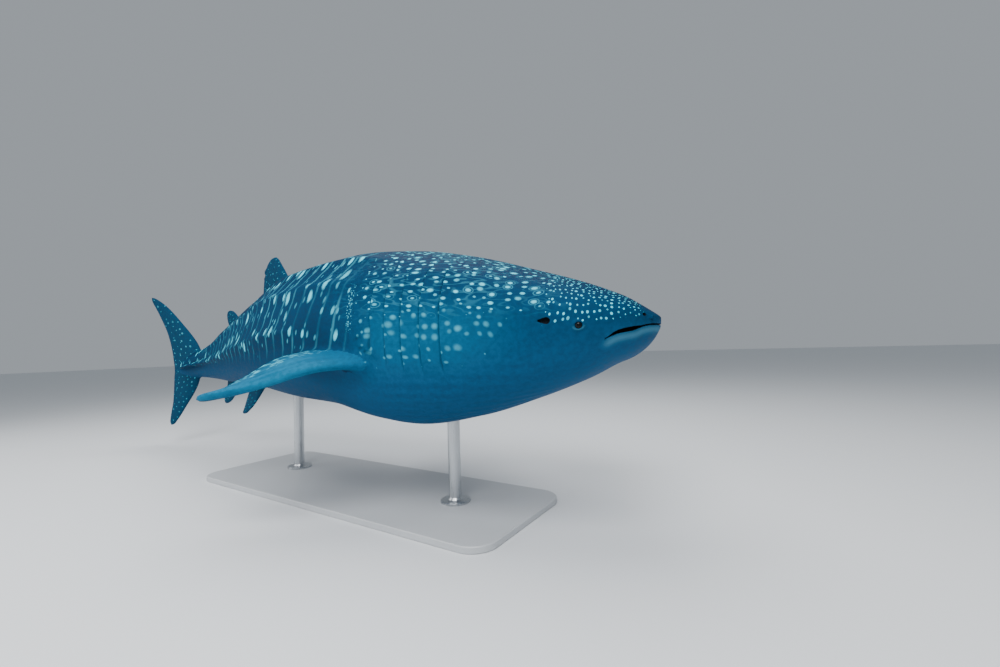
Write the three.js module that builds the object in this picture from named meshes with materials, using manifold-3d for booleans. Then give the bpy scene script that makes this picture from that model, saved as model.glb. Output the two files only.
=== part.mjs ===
// A life-size whale shark, ten metres long, swimming with its tail swung to its right, held by a plain
// display stand.
// Millimetres, +Z up, head towards +X. The origin is the middle of the stand base's underside.
//
// Most of the animal is written in body coordinates: a station s along the spine from the snout (0) towards the
// tail (1 is the total length), an offset to the animal's right, and a height over the spine, all as shares of
// the total length. The function place() bends them along the spine and turns them into millimetres.
import * as THREE from "three";
import { mergeVertices } from "three/addons/utils/BufferGeometryUtils.js";
import Module from "manifold-3d";

const wasm = await Module();
wasm.setup();

// Driving dimensions
const TOTAL_LENGTH = 10000;
const SPINE_HEIGHT = 1790; // of the straight head's axis over the floor
const GAP = 0.3; // kept between nodes that touch
const RING_SIDES = 40;
const STAND_STATION = 0.335; // the station that stands over the origin

// Heading of the spine against +X, in radians, by station: the trunk is turned one way and the tail swings back
const HEADING = [[0, 0.2], [0.12, 0.2], [0.25, 0.03], [0.4, -0.07], [0.55, -0.08], [0.7, -0.02], [0.85, 0.16],
  [1, 0.18]];
const TAIL_DROOP = 0.06; // the spine sinks by this share times the station squared

// Body outline by station: half width, height of the back and depth of the belly from the spine
const HALF_WIDTH = [[0, 0.07], [0.03, 0.073], [0.06, 0.077], [0.1, 0.082], [0.16, 0.087], [0.22, 0.09],
  [0.3, 0.089], [0.4, 0.081], [0.5, 0.066], [0.6, 0.048], [0.7, 0.03], [0.76, 0.019], [0.8, 0.0115], [0.83, 0.007]];
const BACK = [[0, 0.006], [0.03, 0.021], [0.06, 0.034], [0.1, 0.048], [0.16, 0.0675], [0.22, 0.0815],
  [0.3, 0.091], [0.4, 0.09], [0.5, 0.0715], [0.6, 0.053], [0.7, 0.034], [0.76, 0.025], [0.8, 0.021], [0.83, 0.011]];
const BELLY = [[0, 0.027], [0.03, 0.035], [0.06, 0.0495], [0.1, 0.065], [0.16, 0.083], [0.22, 0.092],
  [0.26, 0.088], [0.32, 0.0745], [0.4, 0.067], [0.5, 0.053], [0.6, 0.0435], [0.7, 0.03], [0.76, 0.0225],
  [0.8, 0.0185], [0.83, 0.0095]];
const SNOUT_ROUND = 0.06; // length over which the snout rounds off in plan
const LIP_ROUND = 0.03; // and in side view
const SECTION_POWER = 0.86; // under 1 squares the section a little
const BELLY_POWER = 0.8;

// Ridges along each flank, as angles from the mid line of the back, with the height they stand proud
const RIDGE_TENT = 0.13; // half width of a ridge, in radians
const RIDGES = [
  { from: 0.2, to: 0.7, height: 0.0034, angle: [[0, 0.6], [0.2, 0.66], [0.45, 0.6], [0.7, 0.62], [0.83, 0.7]] },
  { from: 0.22, to: 0.72, height: 0.0036, angle: [[0, 1.05], [0.2, 1.08], [0.45, 1.05], [0.7, 1.12], [0.83, 1.15]] },
  { from: 0.3, to: 0.825, height: 0.0036, angle: [[0, 1.57], [0.25, 1.5], [0.45, 1.52], [0.7, 1.6], [0.83, 1.6]] },
];
const KEEL_HEIGHT = 0.0125; // the lowest ridge swells into the keel beside the tail
const KEEL_FROM = 0.66;
const KEEL_FULL = 0.78;

// Gill slits: each flap rises towards its own slit and steps down behind it
const GILL_SLITS = [0.16, 0.176, 0.1915, 0.206, 0.2195];
const GILL_FLAP = 0.0026;
const GILL_STEP = 0.0014; // length of the step down behind a flap
const GILL_TOP = [0.75, 0.79, 0.85, 0.93, 1.03]; // angle where each slit starts, from the mid line of the back
const GILL_FOOT = [1.98, 1.97, 1.94, 1.88, 1.8];

// Head
const MOUTH_CORNER = 0.037; // station of the corners of the mouth
const MOUTH_HEIGHT = [[-0.02, -0.0045], [0.006, -0.006], [0.018, -0.0092], [0.029, -0.0117], [0.037, -0.0165]];
const MOUTH_GAP = [[-0.02, 0.0012], [0.012, 0.0014], [0.019, 0.0036], [0.029, 0.003], [0.037, 0.0004]];
const JAW_HEEL = [0.082, -0.07]; // where the jaw's rear face leaves the throat
const EYE_STATION = 0.0555;
const EYE_ANGLE = 1.645;
const EYE_RADIUS = 31;
const EYE_RIM = 11;
const SPIRACLE_STATION = 0.079;
const SPIRACLE_ANGLE = 1.58;
const NOSTRIL_STATION = 0.011;
const NOSTRIL_ANGLE = 1.46;
const BARBEL_STATION = 0.01;
const BARBEL_OUT = 0.036;
const BARBEL_HEIGHT = 0.001;

const BODY_CUTS = [0, 0.145, 0.235, 0.4, 0.55, 0.68, 0.83];
const BODY_NAMES = ["head", "gills", "trunk_front", "trunk_middle", "trunk_rear", "tail_stalk"];

// Colours
const SKIN = { color: 0x1f5680, roughness: 0.55, metalness: 0 };
const PALE_SKIN = { color: 0x7fa6bd, roughness: 0.55, metalness: 0 };
const EYE_DARK = { color: 0x0a0f16, roughness: 0.15, metalness: 0 };
const STEEL = { color: 0x8d9298, roughness: 0.4, metalness: 0.8 };
const BASE_GREY = { color: 0xb9bcc0, roughness: 0.6, metalness: 0 };

const clamp01 = (x) => Math.min(1, Math.max(0, x));
const smooth = (x) => clamp01(x) ** 2 * (3 - 2 * clamp01(x));
const power = (c, p) => Math.sign(c) * Math.abs(c) ** p;

// A smooth curve through [station, value] pairs that doesn't overshoot them
function curveThrough(pairs) {
  const slope = pairs.slice(1).map(([x, y], i) => (y - pairs[i][1]) / (x - pairs[i][0]));
  const tangent = pairs.map((_, i) => {
    if (i === 0) return slope[0];
    if (i === pairs.length - 1) return slope[i - 1];
    if (slope[i - 1] * slope[i] <= 0) return 0;
    return 2 / (1 / slope[i - 1] + 1 / slope[i]);
  });
  return (x) => {
    let i = pairs.findIndex((p) => x < p[0]) - 1;
    if (i === -2) return pairs.at(-1)[1] + tangent.at(-1) * (x - pairs.at(-1)[0]);
    if (i < 0) return pairs[0][1] + tangent[0] * (x - pairs[0][0]);
    const [x0, y0] = pairs[i];
    const h = pairs[i + 1][0] - x0;
    const t = (x - x0) / h;
    return (1 + 2 * t) * (1 - t) ** 2 * y0 + t * (1 - t) ** 2 * h * tangent[i]
      + t * t * (3 - 2 * t) * pairs[i + 1][1] + t * t * (t - 1) * h * tangent[i + 1];
  };
}

const heading = curveThrough(HEADING);
const halfWidth = curveThrough(HALF_WIDTH);
const back = curveThrough(BACK);
const belly = curveThrough(BELLY);
const curveAngles = RIDGES.map((ridge) => curveThrough(ridge.angle));

// The spine's plan, walked in small steps from the snout
const SPINE_STEPS = 500;
const spinePlan = [[0, 0]];
for (let i = 1; i <= SPINE_STEPS; i++) {
  const turn = heading((i - 0.5) / SPINE_STEPS);
  const [x, y] = spinePlan[i - 1];
  spinePlan.push([x - Math.cos(turn) / SPINE_STEPS, y - Math.sin(turn) / SPINE_STEPS]);
}

function planAt(s) {
  const i = Math.min(SPINE_STEPS - 1, Math.floor(clamp01(s) * SPINE_STEPS));
  const t = s * SPINE_STEPS - i;
  const [a, b] = [spinePlan[i], spinePlan[i + 1]];
  return [a[0] + (b[0] - a[0]) * t, a[1] + (b[1] - a[1]) * t];
}

const [originX, originY] = planAt(STAND_STATION);

// Body coordinates to millimetres
function place(s, right, height) {
  const [x, y] = planAt(s);
  const turn = heading(clamp01(s));
  return new THREE.Vector3(
    (x - originX + Math.sin(turn) * right) * TOTAL_LENGTH,
    (y - originY - Math.cos(turn) * right) * TOTAL_LENGTH,
    (height - TAIL_DROOP * s * s) * TOTAL_LENGTH + SPINE_HEIGHT,
  );
}

// The same, but with the spine carried on straight from station s0. The paired fins are written so, because a
// bend of the spine would otherwise stretch the fin on one side and shrink its twin.
function placeStraight(s0) {
  const [x, y] = planAt(s0);
  const turn = heading(s0);
  return (s, right, height) => new THREE.Vector3(
    (x - originX - Math.cos(turn) * (s - s0) + Math.sin(turn) * right) * TOTAL_LENGTH,
    (y - originY - Math.sin(turn) * (s - s0) - Math.cos(turn) * right) * TOTAL_LENGTH,
    (height - TAIL_DROOP * s0 * s0) * TOTAL_LENGTH + SPINE_HEIGHT,
  );
}

// How far a rounded end has opened up at station s, from 0 to 1
const opened = (s, length, p) => (1 - (1 - clamp01(s / length)) ** p) ** (1 / p);

function ridgeHeight(ridge, s) {
  const ends = smooth((s - ridge.from) / 0.06) * smooth((ridge.to - s) / 0.05);
  return ridge.height * ends;
}

// The keel swells out of the lowest ridge
const KEEL_END = 0.825;
const KEEL_FADE = 0.045;
const keelHeight = (s) => KEEL_HEIGHT * smooth((s - KEEL_FROM) / (KEEL_FULL - KEEL_FROM))
  * smooth((KEEL_END - s) / KEEL_FADE);

function gillRise(s, angle) {
  let rise = 0;
  GILL_SLITS.forEach((slit, i) => {
    const before = i ? GILL_SLITS[i - 1] + GILL_STEP : slit - 0.016;
    const along = s <= slit
      ? clamp01((s - before) / (slit - before)) ** 2
      : 1 - clamp01((s - slit) / GILL_STEP);
    const across = smooth((angle - GILL_TOP[i]) / 0.16) * smooth((GILL_FOOT[i] - angle) / 0.16);
    if (s > before - 1e-9 && s < slit + GILL_STEP + 1e-9) rise = Math.max(rise, GILL_FLAP * along * across);
  });
  return rise;
}

// A point of the body's surface: angle runs from the mid line of the back (0) to that of the belly (pi), and is
// negative on the animal's left. grow moves the surface out, in shares of the total length.
function bodyPoint(s, angle, grow = 0) {
  const a = Math.abs(angle);
  const wide = halfWidth(s) * opened(s, SNOUT_ROUND, 2.2);
  const lip = opened(s, LIP_ROUND, 2);
  const isBack = a < Math.PI / 2;
  let right = wide * power(Math.sin(a), SECTION_POWER);
  let height = isBack
    ? back(s) * lip * power(Math.cos(a), SECTION_POWER)
    : belly(s) * lip * power(Math.cos(a), BELLY_POWER);
  let rise = grow + gillRise(s, a);
  RIDGES.forEach((ridge, i) => {
    const off = Math.abs(a - curveAngles[i](s)) / RIDGE_TENT;
    const high = ridgeHeight(ridge, s) + (i === 2 ? keelHeight(s) : 0);
    if (off < 1) rise += high * (1 - off) ** 1.3;
  });
  const length = Math.hypot(right, height) || 1;
  right += (right / length) * rise;
  height += (height / length) * rise;
  return place(s, angle < 0 ? -right : right, height);
}

// Angles of a ring's corners on one side, with a corner on each ridge's crest
const ANCHORS = [0, 4, 7, 11, RING_SIDES / 2];
function ringAngles(s) {
  const anchors = [0, ...curveAngles.map((f) => f(s)), Math.PI];
  const half = [];
  for (let k = 0; k <= RING_SIDES / 2; k++) {
    const j = Math.max(0, ANCHORS.findIndex((n) => n >= k) - 1);
    const t = (k - ANCHORS[j]) / (ANCHORS[j + 1] - ANCHORS[j]);
    half.push(anchors[j] + (anchors[j + 1] - anchors[j]) * t);
  }
  return half;
}

function bodyRing(s, grow) {
  const half = ringAngles(s);
  const right = half.map((a) => bodyPoint(s, a, grow));
  const left = half.slice(1, -1).reverse().map((a) => bodyPoint(s, -a, grow));
  return [...right, ...left];
}

// A closed solid through rings of equal length, with a fan at each end
function loft(rings) {
  const count = rings[0].length;
  const points = rings.flat();
  const faces = [];
  for (let i = 0; i + 1 < rings.length; i++) {
    for (let k = 0; k < count; k++) {
      const [a, b] = [i * count + k, i * count + ((k + 1) % count)];
      faces.push(a, a + count, b, b, a + count, b + count);
    }
  }
  for (const [row, flip] of [[0, false], [rings.length - 1, true]]) {
    const centre = rings[row].reduce((sum, p) => sum.add(p), new THREE.Vector3()).divideScalar(count);
    const hub = points.push(centre) - 1;
    for (let k = 0; k < count; k++) {
      const [a, b] = [row * count + k, row * count + ((k + 1) % count)];
      faces.push(...(flip ? [hub, b, a] : [hub, a, b]));
    }
  }
  return solidFrom(points, faces);
}

function solidFrom(points, faces) {
  const geometry = new THREE.BufferGeometry().setFromPoints(points).setIndex(faces);
  return toSolid(geometry);
}

function toSolid(geometry) {
  const bare = geometry.clone();
  bare.deleteAttribute("normal");
  bare.deleteAttribute("uv");
  const merged = mergeVertices(bare, 1e-3);
  const triVerts = new Uint32Array(merged.index.array);
  const make = () => new wasm.Manifold(new wasm.Mesh({
    numProp: 3,
    vertProperties: new Float32Array(merged.attributes.position.array),
    triVerts,
  }));
  const made = make();
  if (made.volume() >= 0) return made;
  for (let i = 1; i < triVerts.length; i += 3) {
    [triVerts[i], triVerts[i + 1]] = [triVerts[i + 1], triVerts[i]];
  }
  return make();
}

const pieces = (solid) => solid.decompose().sort((a, b) => b.volume() - a.volume());
const largest = (solid) => pieces(solid)[0];

function toGeometry(solid) {
  const mesh = solid.getMesh();
  const positions = new Float32Array(mesh.numVert * 3);
  for (let i = 0; i < mesh.numVert; i++) {
    positions.set(mesh.vertProperties.subarray(i * mesh.numProp, i * mesh.numProp + 3), i * 3);
  }
  const geometry = new THREE.BufferGeometry();
  geometry.setAttribute("position", new THREE.BufferAttribute(positions, 3));
  geometry.setIndex(new THREE.BufferAttribute(new Uint32Array(mesh.triVerts), 1));
  geometry.computeVertexNormals();
  return geometry;
}

// Ring stations: close at the snout and at the gills, wider along the trunk
function stations(from, to) {
  const all = [0.0015, 0.004, 0.008, 0.013, 0.019, 0.026, 0.034, 0.044, 0.056, 0.069, 0.083, 0.1, 0.12];
  GILL_SLITS.forEach((slit, i) => {
    const before = i ? GILL_SLITS[i - 1] + GILL_STEP : slit - 0.016;
    all.push((before + 2 * slit) / 3, slit, slit + GILL_STEP);
    if (!i) all.push(before);
  });
  for (let s = 0.25; s < 0.83; s += 0.0225) all.push(s);
  const half = GAP / 2 / TOTAL_LENGTH;
  const inside = all.filter((s) => s > from + 0.0005 && s < to - 0.0005);
  return [from + (from ? half : 0), ...inside, to - half].sort((a, b) => a - b);
}

const bodySegment = (from, to) => loft(stations(from, to).map((s) => bodyRing(s, 0)));

const GROWN = GAP / TOTAL_LENGTH;
const allStations = BODY_CUTS.slice(1).flatMap((to, i) => stations(BODY_CUTS[i], to));
allStations.push(allStations.pop() + 2 * GROWN);
const grownBody = loft(allStations.map((s) => bodyRing(s, GROWN)));

// A prism across the head with a side-view outline of [station, height] corners
function acrossHead(outline, halfSpan) {
  const side = (right) => outline.map(([s, z]) => place(s, right, z));
  return loft([side(-halfSpan), side(halfSpan)]);
}

function mouthSlot() {
  const mid = curveThrough(MOUTH_HEIGHT);
  const gap = curveThrough(MOUTH_GAP);
  const along = [-0.02, 0, 0.006, 0.012, 0.0155, 0.019, 0.024, 0.029, 0.033, MOUTH_CORNER];
  const roof = along.map((s) => [s, mid(s) + gap(s) / 2]);
  const floor = along.map((s) => [s, mid(s) - gap(s) / 2]);
  return acrossHead([...roof, ...floor.reverse()], 0.1);
}

// The thin cut from the corner of the mouth down to the throat, which frees the jaw
function jawCut() {
  const half = GAP / 2 / TOTAL_LENGTH;
  const start = [MOUTH_CORNER - 0.001, curveThrough(MOUTH_HEIGHT)(MOUTH_CORNER - 0.001)];
  return acrossHead([[start[0] - half, start[1]], [start[0] + half, start[1]],
    [JAW_HEEL[0] + half, JAW_HEEL[1]], [JAW_HEEL[0] - half, JAW_HEEL[1]]], 0.1);
}

function ball(centre, radii, turn = 0) {
  const geometry = new THREE.SphereGeometry(1, 20, 12);
  geometry.scale(...radii);
  geometry.rotateZ(turn);
  geometry.translate(centre.x, centre.y, centre.z);
  return toSolid(geometry);
}

// Outward direction of the body's surface
function outward(s, angle) {
  const step = 0.004;
  const along = bodyPoint(s + step, angle).sub(bodyPoint(s - step, angle));
  const around = bodyPoint(s, angle + 0.05).sub(bodyPoint(s, angle - 0.05));
  const normal = new THREE.Vector3().crossVectors(around, along).normalize();
  const from = bodyPoint(s, angle).sub(place(s, 0, 0));
  return normal.dot(from) < 0 ? normal.negate() : normal;
}

function eyeCentre(side) {
  const angle = side * EYE_ANGLE;
  return bodyPoint(EYE_STATION, angle).addScaledVector(outward(EYE_STATION, angle), -EYE_RADIUS * 0.45);
}

// A low rounded rim of skin round the eye
function eyeRim(side) {
  const geometry = new THREE.TorusGeometry(EYE_RADIUS * 0.98, EYE_RIM, 8, 20);
  const normal = outward(EYE_STATION, side * EYE_ANGLE);
  geometry.applyQuaternion(new THREE.Quaternion().setFromUnitVectors(new THREE.Vector3(0, 0, 1), normal));
  const centre = bodyPoint(EYE_STATION, side * EYE_ANGLE);
  geometry.translate(centre.x, centre.y, centre.z);
  return toSolid(geometry);
}

// The short, blunt feeler beside each nostril
function barbel(side) {
  const root = place(BARBEL_STATION, side * BARBEL_OUT, BARBEL_HEIGHT);
  const geometry = new THREE.CylinderGeometry(16, 7, 95, 10);
  geometry.translate(0, -30, 0);
  geometry.applyQuaternion(new THREE.Quaternion().setFromUnitVectors(
    new THREE.Vector3(0, -1, 0),
    place(BARBEL_STATION - 0.006, side * (BARBEL_OUT + 0.001), BARBEL_HEIGHT - 0.0025).sub(root).normalize(),
  ));
  geometry.translate(root.x, root.y, root.z);
  return toSolid(geometry);
}

function headAndJaw() {
  let whole = bodySegment(BODY_CUTS[0], BODY_CUTS[1]);
  for (const side of [1, -1]) whole = whole.add(eyeRim(side)).add(barbel(side));
  for (const side of [1, -1]) {
    whole = whole.subtract(ball(eyeCentre(side), [EYE_RADIUS + GAP, EYE_RADIUS + GAP, EYE_RADIUS + GAP]));
    const spiracle = bodyPoint(SPIRACLE_STATION, side * SPIRACLE_ANGLE);
    whole = whole.subtract(ball(spiracle, [40, 32, 20], heading(0)));
    const nostril = bodyPoint(NOSTRIL_STATION, side * NOSTRIL_ANGLE);
    whole = whole.subtract(ball(nostril, [34, 22, 13], heading(0)));
  }
  const [upper, jaw] = pieces(whole.subtract(mouthSlot()).subtract(jawCut()));
  return [upper, jaw];
}

const eye = (side) => ball(eyeCentre(side), [EYE_RADIUS, EYE_RADIUS, EYE_RADIUS]);

// A fin is a stack of lens-shaped sections from its root, inside the body, to its tip. edges(t) gives the front
// and rear corner and the direction in which the fin is thick, all in body coordinates; thick(t) is its thickness.
const FIN_STEPS = 10;
const FIN_SIDE = 6;
function fin(edges, thick, put = place) {
  const rings = [];
  for (let i = 0; i <= FIN_STEPS; i++) {
    const t = i / FIN_STEPS;
    const { front, rear, across } = edges(t);
    const ring = [];
    for (const face of [1, -1]) {
      for (let k = 0; k < FIN_SIDE; k++) {
        const u = face === 1 ? k / FIN_SIDE : 1 - k / FIN_SIDE;
        const v = (1 - Math.cos(Math.PI * u)) / 2;
        const bulge = finSection(v) * thick(t) / 2 * face;
        ring.push(put(...front.map((f, n) => f + (rear[n] - f) * v + across[n] * bulge)));
      }
    }
    rings.push(ring);
  }
  return loft(rings);
}

// Half thickness along the chord: blunt in front, thin behind, with at least an edge at both ends
const finSection = (v) => Math.max(0.06, 2.6 * (Math.sqrt(v) * (1 - v) * (1 - 0.25 * v)) * 0.98);

// Thickness of a fin from root to tip, with the flare where it grows out of the body
const finThickness = (root, tip, flare) => (t) => root + (tip - root) * smooth(t ** 0.8) + flare * Math.exp(-t * 9);

const cutClear = (solid) => largest(solid.subtract(grownBody));

// Fins in the upright middle plane: front and rear edge as [station, height] curves over t
function uprightFin(frontS, frontZ, rearS, rearZ, thick) {
  const [fs, fz, rs, rz] = [frontS, frontZ, rearS, rearZ].map(curveThrough);
  return cutClear(fin((t) => ({
    front: [fs(t), 0, fz(t)], rear: [rs(t), 0, rz(t)], across: [0, 1, 0],
  }), thick));
}

const firstDorsal = () => uprightFin(
  [[0, 0.458], [0.35, 0.482], [0.7, 0.508], [0.9, 0.522], [1, 0.531]],
  [[0, 0.04], [0.35, 0.086], [0.7, 0.119], [0.9, 0.133], [1, 0.1365]],
  [[0, 0.572], [0.35, 0.567], [0.7, 0.563], [0.9, 0.5605], [1, 0.549]],
  [[0, 0.04], [0.35, 0.074], [0.7, 0.102], [0.9, 0.1205], [1, 0.1315]],
  finThickness(0.0145, 0.0045, 0.008),
);

const secondDorsal = () => uprightFin(
  [[0, 0.622], [0.4, 0.64], [0.8, 0.664], [1, 0.679]],
  [[0, 0.025], [0.4, 0.056], [0.8, 0.0765], [1, 0.0805]],
  [[0, 0.672], [0.4, 0.676], [0.8, 0.685], [1, 0.6865]],
  [[0, 0.025], [0.4, 0.0475], [0.8, 0.0665], [1, 0.0765]],
  finThickness(0.0085, 0.003, 0.005),
);

const analFin = () => uprightFin(
  [[0, 0.634], [0.4, 0.652], [0.8, 0.676], [1, 0.691]],
  [[0, -0.02], [0.4, -0.049], [0.8, -0.068], [1, -0.0715]],
  [[0, 0.684], [0.4, 0.687], [0.8, 0.6965], [1, 0.6985]],
  [[0, -0.018], [0.4, -0.0385], [0.8, -0.057], [1, -0.068]],
  finThickness(0.008, 0.003, 0.005),
);

const caudalUpper = () => uprightFin(
  [[0, 0.762], [0.2, 0.784], [0.5, 0.829], [0.8, 0.876], [1, 0.915]],
  [[0, 0], [0.2, 0.036], [0.5, 0.08], [0.8, 0.12], [1, 0.144]],
  [[0, 0.852], [0.2, 0.856], [0.5, 0.868], [0.8, 0.896], [1, 0.922]],
  [[0, 0], [0.2, 0.025], [0.5, 0.061], [0.8, 0.107], [1, 0.141]],
  finThickness(0.016, 0.0035, 0.008),
);

const caudalLower = () => uprightFin(
  [[0, 0.768], [0.25, 0.786], [0.6, 0.821], [0.85, 0.845], [1, 0.858]],
  [[0, -GROWN], [0.25, -0.034], [0.6, -0.07], [0.85, -0.092], [1, -0.1015]],
  [[0, 0.852], [0.25, 0.8535], [0.6, 0.8565], [0.85, 0.864], [1, 0.8675]],
  [[0, -GROWN], [0.25, -0.026], [0.6, -0.056], [0.85, -0.082], [1, -0.0975]],
  finThickness(0.015, 0.0035, 0.007),
);

// Fins out to a side: each edge as [out, back] curves over t, from a root station, offset and height. The twist
// lifts the rear edge and lowers the front one, less towards the tip.
const TWIST_FADE = 1.05;
function sideFin(side, root, out, frontBack, rearBack, drop, thick) {
  const [o, f, r, d] = [out, frontBack, rearBack, drop].map(curveThrough);
  const tilt = Math.atan2(d(1) - d(0.2), o(1) - o(0.2));
  return cutClear(fin((t) => {
    const [reach, height, lift] = [root.out + o(t), root.height + d(t), root.twist * (1 - TWIST_FADE * t)];
    return {
      front: [root.station + f(t), side * reach, height - lift],
      rear: [root.station + r(t), side * (reach - root.rake * t), height + lift],
      across: [0, -side * Math.sin(tilt), Math.cos(tilt)],
    };
  }, thick, placeStraight(root.station + root.chord / 2)));
}

const pectoral = (side) => sideFin(
  side,
  { station: 0.219, out: 0.064, height: -0.021, twist: 0.0095, rake: 0.008, chord: 0.088 },
  [[0, 0], [0.2, 0.026], [0.5, 0.062], [0.8, 0.09], [1, 0.105]],
  [[0, -0.012], [0.15, 0], [0.25, 0.012], [0.35, 0.024], [0.5, 0.041], [0.8, 0.084], [1, 0.125]],
  [[0, 0.088], [0.2, 0.086], [0.5, 0.094], [0.8, 0.115], [1, 0.132]],
  [[0, 0], [0.2, -0.0005], [0.38, -0.003], [0.5, -0.008], [0.65, -0.0168], [0.8, -0.0245], [1, -0.0325]],
  finThickness(0.017, 0.0085, 0.012),
);

const pelvic = (side) => sideFin(
  side,
  { station: 0.49, out: 0.024, height: -0.034, twist: -0.002, rake: 0, chord: 0.052 },
  [[0, 0], [0.3, 0.006], [0.7, 0.011], [1, 0.013]],
  [[0, 0], [0.3, 0.012], [0.7, 0.033], [1, 0.051]],
  [[0, 0.052], [0.3, 0.054], [0.7, 0.058], [1, 0.062]],
  [[0, 0], [0.3, -0.018], [0.7, -0.041], [1, -0.052]],
  finThickness(0.0095, 0.003, 0.005),
);

// Stand: a flat base with rounded ends, and two rods that end under the belly
const BASE_LENGTH = 4400;
const BASE_WIDTH = 1500;
const BASE_THICK = 60;
const BASE_CORNER = 220;
const BASE_BEVEL = 8;
const ROD_STATIONS = [0.2, 0.47];
const ROD_RADIUS = 62;
const FOOT_RADIUS = 150;
const FOOT_HEIGHT = 26;

function standBase() {
  const [x, y, r] = [BASE_LENGTH / 2 - BASE_BEVEL, BASE_WIDTH / 2 - BASE_BEVEL, BASE_CORNER];
  const outline = new THREE.Shape();
  outline.moveTo(-x + r, -y);
  outline.lineTo(x - r, -y);
  outline.absarc(x - r, -y + r, r, -Math.PI / 2, 0);
  outline.absarc(x - r, y - r, r, 0, Math.PI / 2);
  outline.absarc(-x + r, y - r, r, Math.PI / 2, Math.PI);
  outline.absarc(-x + r, -y + r, r, Math.PI, Math.PI * 1.5);
  const slab = new THREE.ExtrudeGeometry(outline, {
    depth: BASE_THICK - 2 * BASE_BEVEL, bevelEnabled: true, bevelSize: BASE_BEVEL, bevelThickness: BASE_BEVEL,
    bevelSegments: 1, curveSegments: 8,
  });
  slab.translate(0, 0, BASE_BEVEL);
  return toSolid(slab);
}

function standRod(station) {
  const top = place(station, 0, 0);
  const profile = [[0, 0], [FOOT_RADIUS, 0], [FOOT_RADIUS, FOOT_HEIGHT * 0.7], [FOOT_RADIUS - 8, FOOT_HEIGHT],
    [ROD_RADIUS + 14, FOOT_HEIGHT + 3], [ROD_RADIUS, FOOT_HEIGHT + 24], [ROD_RADIUS, top.z], [0, top.z]];
  const geometry = new THREE.LatheGeometry(profile.map(([r, z]) => new THREE.Vector2(r, z)), 24);
  geometry.rotateX(Math.PI / 2);
  geometry.translate(top.x, top.y, BASE_THICK + GAP);
  const rod = toSolid(geometry);
  return largest(rod.subtract(grownBody));
}

const model = new THREE.Group();

function addNode(name, solid, look) {
  const mesh = new THREE.Mesh(toGeometry(solid), new THREE.MeshStandardMaterial(look));
  mesh.name = name;
  model.add(mesh);
}

const [upperHead, jaw] = headAndJaw();
addNode("head", upperHead, SKIN);
addNode("lower_jaw", jaw, PALE_SKIN);
BODY_NAMES.slice(1).forEach((name, i) => addNode(name, bodySegment(BODY_CUTS[i + 1], BODY_CUTS[i + 2]), SKIN));
addNode("dorsal_fin_first", firstDorsal(), SKIN);
addNode("dorsal_fin_second", secondDorsal(), SKIN);
addNode("anal_fin", analFin(), SKIN);
addNode("caudal_fin_upper", caudalUpper(), SKIN);
addNode("caudal_fin_lower", caudalLower(), SKIN);
for (const [word, side] of [["right", 1], ["left", -1]]) {
  addNode(`eye_${word}`, eye(side), EYE_DARK);
  addNode(`pectoral_fin_${word}`, pectoral(side), SKIN);
  addNode(`pelvic_fin_${word}`, pelvic(side), SKIN);
}
addNode("stand_base", standBase(), BASE_GREY);
ROD_STATIONS.forEach((station, i) => addNode(`stand_rod_${i + 1}`, standRod(station), STEEL));

export default model;
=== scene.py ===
"""A life-size whale shark on its display stand: one skin over the whole animal, eyes, stand and studio.

The animal is written in body coordinates: a station s along the spine from the snout (0) towards the tail
(1 is the total length), an offset to the animal's right and a height over the spine, all as shares of that
length. Angles round the body go from the middle of the back (0) to the middle of the belly (pi).
"""

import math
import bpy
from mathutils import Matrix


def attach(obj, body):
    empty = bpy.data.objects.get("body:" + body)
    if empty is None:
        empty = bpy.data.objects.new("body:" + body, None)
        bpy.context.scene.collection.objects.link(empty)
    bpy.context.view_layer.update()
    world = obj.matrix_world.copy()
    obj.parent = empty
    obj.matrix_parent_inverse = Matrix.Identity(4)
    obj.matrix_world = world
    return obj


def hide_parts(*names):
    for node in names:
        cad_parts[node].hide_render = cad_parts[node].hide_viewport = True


bl_info = {
    "name": "Whale shark display model",
    "version": (1, 0, 0),
    "blender": (4, 5, 0),
    "location": "3D View > Sidebar > Whale shark",
    "description": "Builds the skin, eyes, stand finish and studio of a life-size whale shark",
    "category": "Object",
}

from functools import partialmethod
from types import SimpleNamespace

import bpy
import numpy as np
from mathutils import Matrix, Vector, kdtree

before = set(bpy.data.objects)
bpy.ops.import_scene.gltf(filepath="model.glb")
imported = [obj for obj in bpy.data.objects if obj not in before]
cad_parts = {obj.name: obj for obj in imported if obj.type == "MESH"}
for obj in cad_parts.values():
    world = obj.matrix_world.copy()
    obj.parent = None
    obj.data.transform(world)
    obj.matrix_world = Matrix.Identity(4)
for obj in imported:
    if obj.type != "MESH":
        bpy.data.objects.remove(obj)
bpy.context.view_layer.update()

# Driving values of the animal's form, in shares of the total length unless a line says otherwise
LENGTH = 10.0  # metres
SPINE_HEIGHT = 1.79  # metres
STAND_STATION = 0.335
HEADING = [(0, 0.2), (0.12, 0.2), (0.25, 0.03), (0.4, -0.07), (0.55, -0.08), (0.7, -0.02), (0.85, 0.16),
           (1, 0.18)]
TAIL_DROOP = 0.06
HALF_WIDTH = [(0, 0.07), (0.03, 0.073), (0.06, 0.077), (0.1, 0.082), (0.16, 0.087), (0.22, 0.09),
              (0.3, 0.089), (0.4, 0.081), (0.5, 0.066), (0.6, 0.048), (0.7, 0.03), (0.76, 0.019),
              (0.8, 0.0115), (0.83, 0.007)]
BACK = [(0, 0.006), (0.03, 0.021), (0.06, 0.034), (0.1, 0.048), (0.16, 0.0675), (0.22, 0.0815), (0.3, 0.091),
        (0.4, 0.09), (0.5, 0.0715), (0.6, 0.053), (0.7, 0.034), (0.76, 0.025), (0.8, 0.021), (0.83, 0.011)]
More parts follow.
